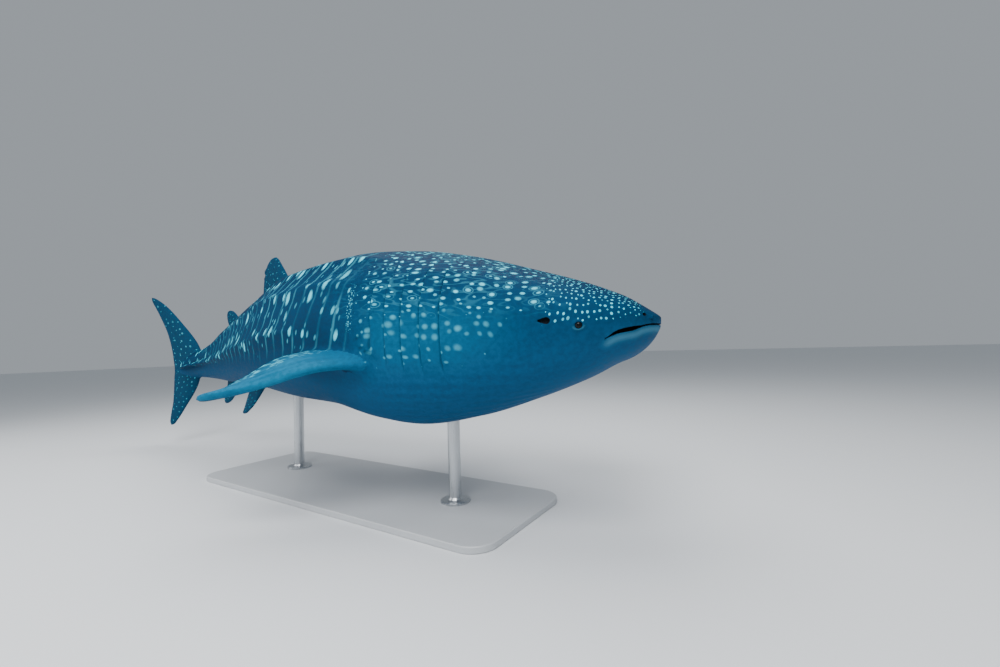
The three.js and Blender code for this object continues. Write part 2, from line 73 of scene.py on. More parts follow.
BELLY = [(0, 0.027), (0.03, 0.035), (0.06, 0.0495), (0.1, 0.065), (0.16, 0.083), (0.22, 0.092),
         (0.26, 0.088), (0.32, 0.0745), (0.4, 0.067), (0.5, 0.053), (0.6, 0.0435), (0.7, 0.03),
         (0.76, 0.0225), (0.8, 0.0185), (0.83, 0.0095)]
SNOUT_ROUND = 0.06
SNOUT_POWER = 2.2
LIP_ROUND = 0.03
SECTION_POWER = 0.86
BELLY_POWER = 0.8
RIDGE_TENT = 0.13  # radians
RIDGE_POWER = 1.3
RIDGE_STARTS_IN = 0.06
RIDGE_ENDS_IN = 0.05
RIDGES = [  # the angle along the body, then start, end and height
    ([(0, 0.6), (0.2, 0.66), (0.45, 0.6), (0.7, 0.62), (0.83, 0.7)], 0.2, 0.7, 0.0034),
    ([(0, 1.05), (0.2, 1.08), (0.45, 1.05), (0.7, 1.12), (0.83, 1.15)], 0.22, 0.72, 0.0036),
    ([(0, 1.57), (0.25, 1.5), (0.45, 1.52), (0.7, 1.6), (0.83, 1.6)], 0.3, 0.825, 0.0036),
]
KEEL_START, KEEL_STARTS_IN = 0.66, 0.12  # the lowest ridge swells into the tail's keel
KEEL_END, KEEL_ENDS_IN = 0.825, 0.045
KEEL_RISE = 0.0125
GILL_SLITS = [0.16, 0.176, 0.1915, 0.206, 0.2195]
GILL_TOP = [0.75, 0.79, 0.85, 0.93, 1.03]  # radians
GILL_FOOT = [1.98, 1.97, 1.94, 1.88, 1.8]
GILL_FADE = 0.16  # radians
FIRST_FLAP = 0.016
FLAP_RISE = 0.0026
FLAP_STEP = 0.0014
GROOVE_BEHIND, GROOVE_HALF, GROOVE_DEPTH = 0.0016, 0.0008, 0.0013
MOUTH_CORNER = 0.037
MOUTH_HEIGHT = [(-0.02, -0.0045), (0.006, -0.006), (0.018, -0.0092), (0.029, -0.0117), (0.037, -0.0165)]
MOUTH_GAP = [(-0.02, 0.0012), (0.012, 0.0014), (0.019, 0.0036), (0.029, 0.003), (0.037, 0.0004)]
LIPS_END, LIPS_FADE = 0.043, 0.008
LIPS_HALF, LIPS_RISE = 0.0042, 0.0014
PALE_LIP_BELOW, PALE_LIP_HALF = 0.0028, 0.0026
EYE = (0.0555, 1.645, 0.0031)  # station, angle, radius
EYE_SUNK = 0.45  # of its radius
EYE_RIM, EYE_RIM_HALF, EYE_RIM_RISE = 0.0037, 0.0011, 0.0011
LID, LID_HALF, LID_PALE = 0.0039, 0.0009, 0.6
SOCKET_GAP = 0.0006  # metres
SPIRACLE = (0.079, 1.58)
SPIRACLE_RADII = (0.03, 0.032, 0.026)  # metres
SPIRACLE_TAIL = 1.5
NOSTRIL = (0.011, 1.46)
NOSTRIL_RADII = (0.034, 0.022, 0.013)  # metres
FIN_FOLD = ((0.2365, 1.56), (0.2155, 1.78))  # the fold before the pectoral fin, from its top to its foot
FOLD_GIRTH, FOLD_GIRTH_SQUARED = 0.087, 0.0075  # round the body for a radian, and its rounded square
FOLD_HALF, FOLD_DEPTH = 0.0009, 0.0016
FOLD_STARTS_IN, FOLD_ENDS_IN = 0.15, 0.3  # of its own length
BARBEL = (0.01, 0.036, 0.001)  # station, offset and height of the root
BARBEL_AIM = (-0.006, 0.001, -0.0025)
BARBEL_RADII, BARBEL_LENGTH, BARBEL_SHIFT = (0.016, 0.007), 0.095, 0.03  # metres
TINY = 1e-9

# Rows of the skin's mesh as start, end and step: close at the mouth, gills and eyes, wide elsewhere
NOSE_START, NOSE_RUN, NOSE_RINGS = 0.00004, 0.012, 20
STATION_RUNS = [(0.0126, 0.08, 0.0009), (0.081, 0.143, 0.003), (0.144, 0.2235, 0.0008),
                (0.226, 0.76, 0.0065), (0.763, 0.83, 0.004)]
ANGLE_RUNS = [(0, 1.44, 0.05), (1.45, 1.86, 0.0095), (1.87, math.pi, 0.052)]
LAST_ANGLE_GAP = 0.02
FLANK_LINE = 1.35  # radians, where the flank's UV map has its zero

# The upright fins in rows: share of the way out, then station and height of the front and of the rear edge
FIRST_DORSAL = [(0, 0.458, 0.04, 0.572, 0.04), (0.35, 0.482, 0.086, 0.567, 0.074),
                (0.7, 0.508, 0.119, 0.563, 0.102), (0.9, 0.522, 0.133, 0.5605, 0.1205),
                (1, 0.531, 0.1365, 0.549, 0.1315)]
SECOND_DORSAL = [(0, 0.622, 0.025, 0.672, 0.025), (0.4, 0.64, 0.056, 0.676, 0.0475),
                 (0.8, 0.664, 0.0765, 0.685, 0.0665), (1, 0.679, 0.0805, 0.6865, 0.0765)]
ANAL = [(0, 0.634, -0.02, 0.684, -0.018), (0.4, 0.652, -0.049, 0.687, -0.0385),
        (0.8, 0.676, -0.068, 0.6965, -0.057), (1, 0.691, -0.0715, 0.6985, -0.068)]
UPPER_LOBE = [(0, 0.762, 0, 0.852, 0), (0.2, 0.784, 0.036, 0.856, 0.025), (0.5, 0.829, 0.08, 0.868, 0.061),
              (0.8, 0.876, 0.12, 0.896, 0.107), (1, 0.915, 0.144, 0.922, 0.141)]
LOWER_LOBE = [(0, 0.768, 0.003, 0.852, 0.003), (0.25, 0.786, -0.034, 0.8535, -0.026),
              (0.6, 0.821, -0.07, 0.8565, -0.056), (0.85, 0.845, -0.092, 0.864, -0.082),
              (1, 0.858, -0.1015, 0.8675, -0.0975)]

# The side fins: the root's station, offset, height, twist, rake and chord, then four curves along the fin
PECTORAL_ROOT = (0.219, 0.064, -0.021, 0.0095, 0.008, 0.088)
PECTORAL_CURVES = {
    "out": [(0, 0), (0.2, 0.026), (0.5, 0.062), (0.8, 0.09), (1, 0.105)],
    "front": [(0, -0.012), (0.15, 0), (0.25, 0.012), (0.35, 0.024), (0.5, 0.041), (0.8, 0.084), (1, 0.125)],
    "rear": [(0, 0.088), (0.2, 0.086), (0.5, 0.094), (0.8, 0.115), (1, 0.132)],
    "drop": [(0, 0), (0.2, -0.0005), (0.38, -0.003), (0.5, -0.008), (0.65, -0.0168), (0.8, -0.0245),
             (1, -0.0325)],
}
PELVIC_ROOT = (0.49, 0.024, -0.034, -0.002, 0, 0.052)
PELVIC_CURVES = {
    "out": [(0, 0), (0.3, 0.006), (0.7, 0.011), (1, 0.013)],
    "front": [(0, 0), (0.3, 0.012), (0.7, 0.033), (1, 0.051)],
    "rear": [(0, 0.052), (0.3, 0.054), (0.7, 0.058), (1, 0.062)],
    "drop": [(0, 0), (0.3, -0.018), (0.7, -0.041), (1, -0.052)],
}
TWIST_FADE = 1.05  # how far a side fin's twist has faded at its tip
FIN_ROWS = 46
FIN_AROUND = 52
ROW_POWER = 0.9
TIP_START, TIP_RUN = 0.93, 0.07
NOTCH_START, NOTCH_FADE, NOTCH_WAVES = 0.72, 0.1, 62
FIN_MAP_LENGTH = 1.6
CHORD_START, CHORD_RUN = 0.01, 0.98  # keep the share of the chord off the whole numbers below
FIN_MARK, PECTORAL_TOP, PECTORAL_UNDER = 2, 4, 6  # added to the Place map, where the body is 0 to 1

# How far and how often the skin is smoothed at its joins and cuts: metres and repeats
FIN_SOFTENING = (0.17, 22)
PECTORAL_SOFTENING = (0.36, 90)
RIM_SOFTENING = (0.012, 3)
KEY_GRID = 2e4  # cells in a metre, in each of which corners count as one
FLAP_GRID = 1e6


def curve_through(pairs):
    """A smooth curve through (station, value) pairs that doesn't overshoot them."""
    x, y = (np.array(c, float) for c in zip(*pairs))
    slope = np.diff(y) / np.diff(x)
    tangent = np.empty(len(x))
    tangent[0], tangent[-1] = slope[0], slope[-1]
    for k in range(1, len(x) - 1):
        a, b = slope[k - 1], slope[k]
        tangent[k] = 0.0 if a * b <= 0 else 2 / (1 / a + 1 / b)

    def value(at):
        at = np.asarray(at, float)
        i = np.clip(np.searchsorted(x, at, side="right") - 1, 0, len(x) - 2)
        h = x[i + 1] - x[i]
        t = (at - x[i]) / h
        inside = ((1 + 2 * t) * (1 - t) ** 2 * y[i] + t * (1 - t) ** 2 * h * tangent[i]
                  + t * t * (3 - 2 * t) * y[i + 1] + t * t * (t - 1) * h * tangent[i + 1])
        before = y[0] + tangent[0] * (at - x[0])
        after = y[-1] + tangent[-1] * (at - x[-1])
        return np.where(at < x[0], before, np.where(at > x[-1], after, inside))

    return value


def smooth(x):
    x = np.clip(x, 0, 1)
    return x * x * (3 - 2 * x)


def hump(off, half):
    """1 where off is 0, falling away evenly on both sides."""
    return np.exp(-(off / half) ** 2)


def power(c, p):
    return np.sign(c) * np.abs(c) ** p


def opened(s, length, p):
    """How far the rounded front end has opened at station s, from 0 to 1."""
    return (1 - (1 - np.clip(s / length, 0, 1)) ** p) ** (1 / p)


heading = curve_through(HEADING)
half_width = curve_through(HALF_WIDTH)
back = curve_through(BACK)
belly = curve_through(BELLY)
mouth_height = curve_through(MOUTH_HEIGHT)
mouth_gap = curve_through(MOUTH_GAP)
RIDGE_CURVES = [curve_through(ridge[0]) for ridge in RIDGES]

SPINE_STEPS = 500
TURNS = heading((np.arange(SPINE_STEPS) + 0.5) / SPINE_STEPS)
PLAN_X = np.concatenate([[0], -np.cumsum(np.cos(TURNS)) / SPINE_STEPS])
PLAN_Y = np.concatenate([[0], -np.cumsum(np.sin(TURNS)) / SPINE_STEPS])


def plan_at(s):
    """The spine's place seen from above, from its snout end."""
    i = np.minimum(SPINE_STEPS - 1, np.floor(np.clip(s, 0, 1) * SPINE_STEPS).astype(int))
    t = s * SPINE_STEPS - i
    return PLAN_X[i] + (PLAN_X[i + 1] - PLAN_X[i]) * t, PLAN_Y[i] + (PLAN_Y[i + 1] - PLAN_Y[i]) * t


ORIGIN_X, ORIGIN_Y = plan_at(np.float64(STAND_STATION))


def place(s, right, height):
    """Body coordinates to metres."""
    s, right, height = np.broadcast_arrays(*(np.asarray(v, float) for v in (s, right, height)))
    x, y = plan_at(s)
    turn = heading(np.clip(s, 0, 1))
    return np.stack([
        (x - ORIGIN_X + np.sin(turn) * right) * LENGTH,
        (y - ORIGIN_Y - np.cos(turn) * right) * LENGTH,
        (height - TAIL_DROOP * s * s) * LENGTH + SPINE_HEIGHT,
    ], axis=-1)


def place_straight(s0):
    """Like place, with the spine carried on straight from station s0, so a pair's fins are one size."""
    x, y = plan_at(np.float64(s0))
    turn = float(heading(s0))

    def put(s, right, height):
        s, right, height = np.broadcast_arrays(*(np.asarray(v, float) for v in (s, right, height)))
        return np.stack([
            (x - ORIGIN_X - math.cos(turn) * (s - s0) + math.sin(turn) * right) * LENGTH,
            (y - ORIGIN_Y - math.sin(turn) * (s - s0) - math.cos(turn) * right) * LENGTH,
            (height - TAIL_DROOP * s0 * s0) * LENGTH + SPINE_HEIGHT,
        ], axis=-1)

    return put


def gill_rise(s, a):
    """Each flap rises towards its slit, steps down behind it and leaves a groove there."""
    rise = np.zeros_like(s)
    groove = np.zeros_like(s)
    for i, slit in enumerate(GILL_SLITS):
        before = GILL_SLITS[i - 1] + FLAP_STEP if i else slit - FIRST_FLAP
        across = smooth((a - GILL_TOP[i]) / GILL_FADE) * smooth((GILL_FOOT[i] - a) / GILL_FADE)
        along = np.where(s <= slit, np.clip((s - before) / (slit - before), 0, 1) ** 2,
                         1 - np.clip((s - slit) / FLAP_STEP, 0, 1))
        inside = (s > before - TINY) & (s < slit + FLAP_STEP + TINY)
        rise = np.maximum(rise, np.where(inside, FLAP_RISE * along * across, 0))
        groove = np.maximum(groove, hump(s - slit - GROOVE_BEHIND, GROOVE_HALF) * across)
    return rise - GROOVE_DEPTH * groove, groove


def fin_fold(s, a):
    """Nearness to the slanted fold before the pectoral fin, from 0 to 1."""
    (s0, a0), (s1, a1) = FIN_FOLD
    run, turn = s1 - s0, a1 - a0
    t = ((s - s0) * run / FOLD_GIRTH_SQUARED + (a - a0) * turn) / (run ** 2 / FOLD_GIRTH_SQUARED + turn ** 2)
    t = np.clip(t, 0, 1)
    off = np.hypot(s - s0 - run * t, FOLD_GIRTH * (a - a0 - turn * t))
    return hump(off, FOLD_HALF) * smooth(t / FOLD_STARTS_IN) * smooth((1 - t) / FOLD_ENDS_IN)


def with_ridges(rise, s, a):
    for k, (_, start, end, high) in enumerate(RIDGES):
        tall = high * smooth((s - start) / RIDGE_STARTS_IN) * smooth((end - s) / RIDGE_ENDS_IN)
        if k == len(RIDGES) - 1:
            keel = smooth((s - KEEL_START) / KEEL_STARTS_IN) * smooth((KEEL_END - s) / KEEL_ENDS_IN)
            tall = tall + KEEL_RISE * keel
        off = np.clip(1 - np.abs(a - RIDGE_CURVES[k](s)) / RIDGE_TENT, 0, 1)
        rise = rise + tall * off ** RIDGE_POWER
    return rise


def body_surface(s, angle):
    """Points of the skin, how deep each lies in a crease (which the skin's material darkens as painted
    shade), and how much of it is pale lip or eyelid.
    """
    a = np.abs(angle)
    lip = opened(s, LIP_ROUND, 2)
    right = half_width(s) * opened(s, SNOUT_ROUND, SNOUT_POWER) * power(np.sin(a), SECTION_POWER)
    height = np.where(a < math.pi / 2, back(s) * lip * power(np.cos(a), SECTION_POWER),
                      belly(s) * lip * power(np.cos(a), BELLY_POWER))
    reach = np.hypot(right, height)
    near_eye = np.hypot(s - EYE[0], (a - EYE[1]) * reach)
    by_mouth = smooth((LIPS_END - s) / LIPS_FADE)
    over_mouth = height - mouth_height(s)
    fold = fin_fold(s, a)
    rise, crease = gill_rise(s, a)
    rise = with_ridges(rise, s, a) + EYE_RIM_RISE * hump(near_eye - EYE_RIM, EYE_RIM_HALF)
    rise = rise + LIPS_RISE * hump(over_mouth, LIPS_HALF) * by_mouth - FOLD_DEPTH * fold
    lower_lip = hump(over_mouth + mouth_gap(s) / 2 + PALE_LIP_BELOW, PALE_LIP_HALF) * by_mouth
    lower_lid = hump(near_eye - LID, LID_HALF) * smooth((a - EYE[1] + 0.01) / 0.03)
    pale = np.maximum(lower_lip, LID_PALE * lower_lid)
    reach = np.where(reach > 0, reach, 1)
    side = np.sign(angle + TINY)
    points = place(s, side * (right + right / reach * rise), height + height / reach * rise)
    return points, np.maximum(crease, fold), pale


def body_at(s, angle):
    return body_surface(np.float64(s), np.float64(angle))[0]


def outward(s, angle):
    """The skin's unit normal, from points a small step apart."""
    run, turn = 0.004, 0.05
    along = body_at(s + run, angle) - body_at(s - run, angle)
    around = body_at(s, angle + turn) - body_at(s, angle - turn)
    normal = np.cross(around, along)
    normal /= np.linalg.norm(normal)
    return -normal if normal @ (body_at(s, angle) - place(s, 0, 0)) < 0 else normal


def eye_centre(side):
    angle = side * EYE[1]
    return body_at(EYE[0], angle) - outward(EYE[0], angle) * EYE[2] * LENGTH * EYE_SUNK


# Meshes

def set_mode(mode):
    bpy.ops.object.mode_set(mode=mode)


def clear_selection():
    if bpy.context.object and bpy.context.object.mode != "OBJECT":
        set_mode("OBJECT")
    bpy.ops.object.select_all(action="DESELECT")


def make_active(obj):
    clear_selection()
    obj.select_set(True)
    bpy.context.view_layer.objects.active = obj


def corner_points(mesh):
    flat = np.empty(len(mesh.vertices) * 3)
    mesh.vertices.foreach_get("co", flat)
    return flat.reshape(-1, 3)


def face_corners(mesh):
    """The index of each face corner's point."""
    corners = np.empty(len(mesh.loops), dtype=np.int32)
    mesh.loops.foreach_get("vertex_index", corners)
    return corners


def set_maps(mesh, maps):
    """Replaces the UV maps by maps, which gives each name two values for each face corner."""
    while mesh.uv_layers:
        mesh.uv_layers.remove(mesh.uv_layers[0])
    for name, values in maps.items():
        layer = mesh.uv_layers.new(name=name)
        layer.uv.foreach_set("vector", values.astype(np.float32).reshape(-1))


def paint(obj, material):
    obj.data.materials.clear()
    obj.data.materials.append(material)


def shaped_grid(name, columns, rows, surface):
    """A grid primitive whose corner (i, j) is set by surface(i, j), which gives points and UV maps."""
    clear_selection()
    bpy.ops.mesh.primitive_grid_add(x_subdivisions=columns, y_subdivisions=rows, size=2, location=(0, 0, 0))
    obj = bpy.context.object
    obj.name = obj.data.name = name
    mesh = obj.data
    share = (corner_points(mesh) + 1) / 2
    i, j = (np.rint(share[:, k] * count).astype(int) for k, count in enumerate((columns, rows)))
    points, maps = surface(i, j)
    mesh.vertices.foreach_set("co", points.reshape(-1))
    corners = face_corners(mesh)
    set_maps(mesh, {map_name: values[corners] for map_name, values in maps.items()})
    mesh.update()
    return obj


def close_up(obj, merge=1e-5):
    """Merges the seam and poles, closes open ends and points the faces outwards."""
    make_active(obj)
    set_mode("EDIT")
    bpy.ops.mesh.select_all(action="SELECT")
    bpy.ops.mesh.remove_doubles(threshold=merge)
    bpy.ops.mesh.select_all(action="DESELECT")
    bpy.ops.mesh.select_non_manifold(extend=False, use_wire=False, use_multi_face=False,
                                     use_non_contiguous=False, use_verts=False)
    bpy.ops.mesh.edge_face_add()
    bpy.ops.mesh.select_all(action="SELECT")
    bpy.ops.mesh.normals_make_consistent(inside=False)
    set_mode("OBJECT")
    return obj


def body_stations():
    nose = NOSE_START + NOSE_RUN * (np.arange(NOSE_RINGS) / NOSE_RINGS) ** 2
    return np.unique(np.concatenate([nose, *(np.arange(*run) for run in STATION_RUNS)]))


def body_angles():
    half = np.concatenate([np.arange(*run) for run in ANGLE_RUNS])
    half = np.append(half[half < math.pi - LAST_ANGLE_GAP], math.pi)
    return np.concatenate([-half[:0:-1], half])


def make_body():
    s_all, a_all = body_stations(), body_angles()
    s_grid, a_grid = np.meshgrid(s_all, a_all, indexing="ij")
    points, crease, pale = body_surface(s_grid, a_grid)
    steps = np.linalg.norm(np.diff(points, axis=0), axis=-1).mean(axis=1)
    along = np.concatenate([[0], np.cumsum(steps)])
    around = np.linalg.norm(np.diff(points, axis=1), axis=-1)
    arc = np.concatenate([np.zeros((len(s_all), 1)), np.cumsum(around, axis=1)], axis=1)
    arc = np.abs(arc - arc[:, [int(np.argmin(np.abs(a_all)))]])
    arc = arc - arc[:, [int(np.argmin(np.abs(a_all - FLANK_LINE)))]]

    def surface(i, j):
        return points[i, j], {
            "Place": np.stack([s_all[i], np.abs(a_all[j]) / math.pi], axis=-1),
            "Flank": np.stack([along[i], arc[i, j]], axis=-1),
            "Crease": np.stack([crease[i, j], pale[i, j]], axis=-1),
        }

    return close_up(shaped_grid("skin", len(s_all) - 1, len(a_all) - 1, surface))


def fin_section(v):
    """A lens's share of its thickness across the chord, from the front edge (0) to the rear edge (1)."""
    least, swell, taper = 0.05, 2.548, 0.25
    return np.maximum(least, swell * np.sqrt(v) * (1 - v) * (1 - taper * v))


def fin_thickness(root, tip, flare):
    """The thickness along a fin, with a flare that dies away just outside the root."""
    thinning, fading = 0.8, 9
    return lambda t: root + (tip - root) * smooth(t ** thinning) + flare * np.exp(-t * fading)


def make_fin(name, edges, thick, seed, put=place, marks=(FIN_MARK, FIN_MARK)):
    """A lens-shaped fin from its root inside the body to a rounded tip. marks tells its two faces apart."""
    def surface(i, j):
        t = (i / FIN_ROWS) ** ROW_POWER
        front, rear, across = edges(t)
        end = np.sqrt(np.clip(1 - (np.clip((t - TIP_START) / TIP_RUN, 0, 1)) ** 2, 0, 1))
        u = j / FIN_AROUND * 2
        face = np.where(u <= 1, 1.0, -1.0)
        v = (1 - np.cos(math.pi * np.where(u <= 1, u, 2 - u))) / 2
        pinch = np.where((v < TINY) | (v > 1 - TINY), 0.0, 1.0)
        chord = 0.5 + (v - 0.5) * end
        bulge = fin_section(v) * thick(t) / 2 * face * end * pinch
        where = [front[k] + (rear[k] - front[k]) * chord + across[k] * bulge for k in range(3)]
        size = np.hypot(*(np.asarray(rear[k]) - front[k] for k in (0, 2))) * LENGTH
        return put(*where), {
            "Place": np.stack([np.where(u <= 1, *marks) + v * CHORD_RUN + CHORD_START, t], axis=-1),
            "Flank": np.stack([v * size + seed, t * FIN_MAP_LENGTH + seed], axis=-1),
            "Crease": np.zeros((len(i), 2)),
        }

    return close_up(shaped_grid(name, FIN_ROWS, FIN_AROUND, surface), merge=2e-5)


def upright(name, rows, thick, seed, notches=0.0):
    t_rows, *values = zip(*rows)
    front_s, front_z, rear_s, rear_z = (curve_through(list(zip(t_rows, v))) for v in values)

    def edges(t):
        bites = notches * smooth((t - NOTCH_START) / NOTCH_FADE) * (0.5 + 0.5 * np.sin(t * NOTCH_WAVES)) ** 2
        zero, one = np.zeros_like(t), np.ones_like(t)
        return (front_s(t), zero, front_z(t)), (rear_s(t) - bites, zero, rear_z(t)), (zero, one, zero)

    return make_fin(name, edges, thick, seed)


def sideways(name, side, root, curves, thick, seed, marks=(FIN_MARK, FIN_MARK)):
    station, offset, height, twist, rake, root_chord = root
    out, front, rear, drop = (curve_through(curves[key]) for key in ("out", "front", "rear", "drop"))
    tilt = math.atan2(float(drop(1) - drop(0.2)), float(out(1) - out(0.2)))

    def edges(t):
        zero = np.zeros_like(t)
        reach, level, lift = offset + out(t), height + drop(t), twist * (1 - TWIST_FADE * t)
        return (
            (station + front(t), side * reach, level - lift),
            (station + rear(t), side * (reach - rake * t), level + lift),
            (zero, zero - side * math.sin(tilt), zero + math.cos(tilt)),
        )

    return make_fin(name, edges, thick, seed, place_straight(station + root_chord / 2), marks)


def make_fins():
    """The fins that join the skin together, and apart from them the tail's lower lobe."""
    made = [
        upright("first_dorsal", FIRST_DORSAL, fin_thickness(0.0145, 0.0045, 0.008), 20, notches=0.0035),
        upright("second_dorsal", SECOND_DORSAL, fin_thickness(0.0085, 0.003, 0.005), 30),
        upright("anal", ANAL, fin_thickness(0.008, 0.003, 0.005), 40),
        upright("upper_lobe", UPPER_LOBE, fin_thickness(0.016, 0.0035, 0.008), 50),
    ]
    for side, word in ((1, "right"), (-1, "left")):
        made.append(sideways(f"pectoral_{word}", side, PECTORAL_ROOT, PECTORAL_CURVES,
                             fin_thickness(0.017, 0.0085, 0.012), 60 + side, (PECTORAL_TOP, PECTORAL_UNDER)))
        made.append(sideways(f"pelvic_{word}", side, PELVIC_ROOT, PELVIC_CURVES,
                             fin_thickness(0.0095, 0.003, 0.005), 70 + side))
    return made, upright("lower_lobe", LOWER_LOBE, fin_thickness(0.015, 0.0035, 0.007), 80)


def make_barbel(side):
    """The short, blunt feeler beside a nostril."""
    station, offset, height = BARBEL
    root = Vector(place(station, side * offset, height))
    run, out, rise = BARBEL_AIM
    ahead = Vector(place(station + run, side * (offset + out), height + rise)) - root
    clear_selection()
    bpy.ops.mesh.primitive_cone_add(vertices=28, radius1=BARBEL_RADII[0], radius2=BARBEL_RADII[1],
                                    depth=BARBEL_LENGTH, location=(0, 0, 0))
    obj = bpy.context.object
    obj.name = f"barbel_{side}"
    turn = Vector((0, 0, 1)).rotation_difference(ahead).to_matrix().to_4x4()
    obj.data.transform(Matrix.Translation(root) @ turn @ Matrix.Translation((0, 0, BARBEL_SHIFT)))
    return with_maps(obj, {"Place": (0.02, 0.5), "Flank": (0, 0), "Crease": (0, 0)})


def with_maps(obj, values):
    """Gives a plain piece the skin's UV maps, each with one value."""
    count = len(obj.data.loops)
    set_maps(obj.data, {name: np.tile(np.array(value, np.float32), count) for name, value in values.items()})
    return obj


def joined(objects, name):
    clear_selection()
    for obj in objects:
        obj.select_set(True)
    bpy.context.view_layer.objects.active = objects[0]
    bpy.ops.object.join()
    objects[0].name = name
    return objects[0]


def cut_or_grow(target, tool, operation):
    make_active(target)
    step = target.modifiers.new(operation.title(), "BOOLEAN")
    step.operation = operation
    step.solver = "EXACT"
    step.object = tool
    step.material_mode = "TRANSFER"
    bpy.ops.object.modifier_apply(modifier=step.name)
    bpy.data.objects.remove(tool)


def corner_keys(obj):
    """The object's corners as whole numbers, by which the corners that a cut has made are told apart."""
    return [tuple(p) for p in np.rint(corner_points(obj.data) * KEY_GRID).astype(int).tolist()]


def clear_loose_flaps(obj):
    """Makes the faces triangles and deletes the tiny flaps, open at an edge, that a cut has left."""
    make_active(obj)
    set_mode("EDIT")
    bpy.ops.mesh.select_all(action="SELECT")
    bpy.ops.mesh.quads_convert_to_tris(quad_method="FIXED", ngon_method="CLIP")
    bpy.ops.mesh.select_all(action="DESELECT")
    set_mode("OBJECT")
    mesh = obj.data
    cells = np.rint(corner_points(mesh) * FLAP_GRID).astype(np.int64)
    _, point_of = np.unique(cells, axis=0, return_inverse=True)
    faces = point_of.reshape(-1)[face_corners(mesh).reshape(-1, 3)]
    edges = np.sort(np.stack([faces, np.roll(faces, 1, axis=1)], axis=-1), axis=-1).reshape(-1, 2)
    _, edge_of, uses = np.unique(edges, axis=0, return_inverse=True, return_counts=True)
    mesh.polygons.foreach_set("select", (uses[edge_of.reshape(-1)] == 1).reshape(-1, 3).any(axis=1))
    set_mode("EDIT")
    bpy.ops.mesh.delete(type="FACE")
    set_mode("OBJECT")


def soften_joins(obj, known, softening, name):
    """Smooths the skin near the edges that a join or cut has made, which are the corners not in known."""
    reach, repeats = softening
    points = corner_points(obj.data)
    new = [k for k, key in enumerate(corner_keys(obj)) if key not in known]
    if not new:
        return
    tree = kdtree.KDTree(len(new))
    for k, index in enumerate(new):
        tree.insert(points[index], k)
    tree.balance()
    group = obj.vertex_groups.new(name=name)
    for k, p in enumerate(points):
        distance = tree.find(p)[2]
        if distance < reach:
            group.add([k], float(smooth(1 - distance / reach)), "REPLACE")
    make_active(obj)
    step = obj.modifiers.new(name, "SMOOTH")
    step.factor = 0.5
    step.iterations = repeats
    step.vertex_group = group.name
    bpy.ops.object.modifier_apply(modifier=step.name)
    obj.vertex_groups.remove(obj.vertex_groups[name])


def mouth_cutter():
    """A band round the front of the head that opens the mouth between the lips."""
    front, outside, inside, taper = 0.006, 0.006, -0.016, 0.8
    s = np.concatenate([np.linspace(MOUTH_CORNER, front, 26), front * (np.linspace(0.93, 0, 16)) ** 2])
    wide = half_width(s) * opened(s, SNOUT_ROUND, SNOUT_POWER)
    s_line = np.concatenate([s, s[-2::-1]])
    w_line = np.concatenate([wide, -wide[-2::-1]])
    run_s, run_w = np.gradient(s_line), np.gradient(w_line)
    size = np.hypot(run_s, run_w)
    out_s, out_w = run_w / size, -run_s / size
    mid, gap = mouth_height(s_line), mouth_gap(s_line) / 2
    rails = [(outside, gap), (outside, -gap), (inside, -gap * taper), (inside, gap * taper), (outside, gap)]

    def surface(i, j):
        off = np.array([rail[0] for rail in rails])[j]
        up = np.stack([rail[1] for rail in rails])[j, i]
        points = place(s_line[i] + out_s[i] * off, w_line[i] + out_w[i] * off, mid[i] + up)
        empty = np.zeros((len(i), 2))
        return points, {"Place": empty + [0.03, 0.5], "Flank": empty, "Crease": empty + [1, 0]}

    return close_up(shaped_grid("mouth_cutter", len(s_line) - 1, 4, surface), merge=1e-6)


def ball_cutter(name, centre, radii, turn=0.0, tail=0.0):
    """A ball, drawn out towards the rear by tail."""
    clear_selection()
    bpy.ops.mesh.primitive_uv_sphere_add(segments=40, ring_count=22, radius=1, location=(0, 0, 0))
    obj = bpy.context.object
    obj.name = name
    for corner in obj.data.vertices:
        if corner.co.x < 0:
            thin = 1 + tail * 0.4 * corner.co.x
            corner.co = (corner.co.x * (1 + tail), corner.co.y * thin, corner.co.z * thin)
    move = Matrix.Translation(Vector(centre)) @ Matrix.Rotation(turn, 4, "Z") @ Matrix.Diagonal((*radii, 1))
    obj.data.transform(move)
    return with_maps(obj, {"Place": (0.03, 0.5), "Flank": (0, 0), "Crease": (1, 0)})


def grow_fins(skin, material):
    """Joins the fins and feelers to the skin and softens their roots, the pectorals' most of all."""
    fins, lower = make_fins()
    barbels = [make_barbel(side) for side in (1, -1)]
    for obj in (skin, lower, *fins, *barbels):
        paint(obj, material)
    wide_fins = [fin for fin in fins if "pectoral" in fin.name]
    others = joined([fin for fin in fins if fin not in wide_fins] + barbels, "fins and feelers")
    pectorals = joined(wide_fins, "pectorals")
    known = {*corner_keys(skin), *corner_keys(others), *corner_keys(lower)}
    cut_or_grow(skin, others, "UNION")
    cut_or_grow(skin, lower, "UNION")
    soften_joins(skin, known, FIN_SOFTENING, "Fin roots")
    known = {*corner_keys(skin), *corner_keys(pectorals)}
    cut_or_grow(skin, pectorals, "UNION")
    soften_joins(skin, known, PECTORAL_SOFTENING, "Pectoral roots")


